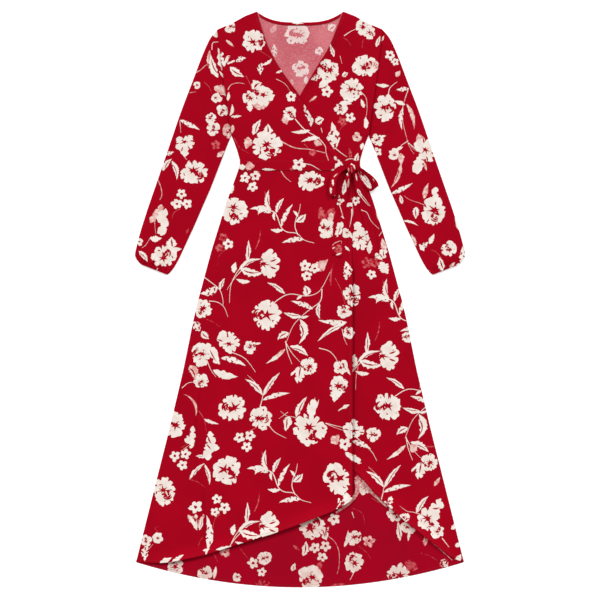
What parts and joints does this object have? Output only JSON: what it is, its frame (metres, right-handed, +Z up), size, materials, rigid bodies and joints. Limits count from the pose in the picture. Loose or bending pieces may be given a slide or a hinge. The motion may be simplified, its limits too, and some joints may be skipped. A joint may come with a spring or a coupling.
{
  "type": "wrap dress",
  "caption": "Long-sleeved wrap dress laid flat, with a V neck, gathered cuffs, a bow tied at the waist and a hem that dips at the back.",
  "frame": {"origin": "on the floor under the middle of the dress, where it rests", "axes": "+X to the wearer's left, +Y from the hem to the neck, +Z up off the floor out of the front"},
  "size_m": [0.812, 1.417, 0.0208],
  "materials": {
    "printed_cloth": "matt woven viscose crepe, red ground with a printed cream and blush floral",
    "cloth_inside": "wrong side of the printed crepe, dusty rose, with the floral showing through",
    "plain_trim": "matt plain red bias binding, edge-stitched"
  },
  "bodies": {
    "root": {"back_bodice": "cloth_inside", "back_neck_binding": "plain_trim", "right_front_bodice": "printed_cloth", "left_front_bodice": "printed_cloth", "right_sleeve": "printed_cloth", "left_sleeve": "printed_cloth", "right_cuff": "printed_cloth", "left_cuff": "printed_cloth", "back_skirt": "cloth_inside", "left_front_skirt": "printed_cloth", "right_front_skirt": "printed_cloth", "waistband": "printed_cloth", "bow_knot": "printed_cloth", "bow_loop_right": "printed_cloth", "bow_loop_left": "printed_cloth", "tie_tail_right": "printed_cloth", "tie_tail_left": "printed_cloth"}
  },
  "joints": []
}
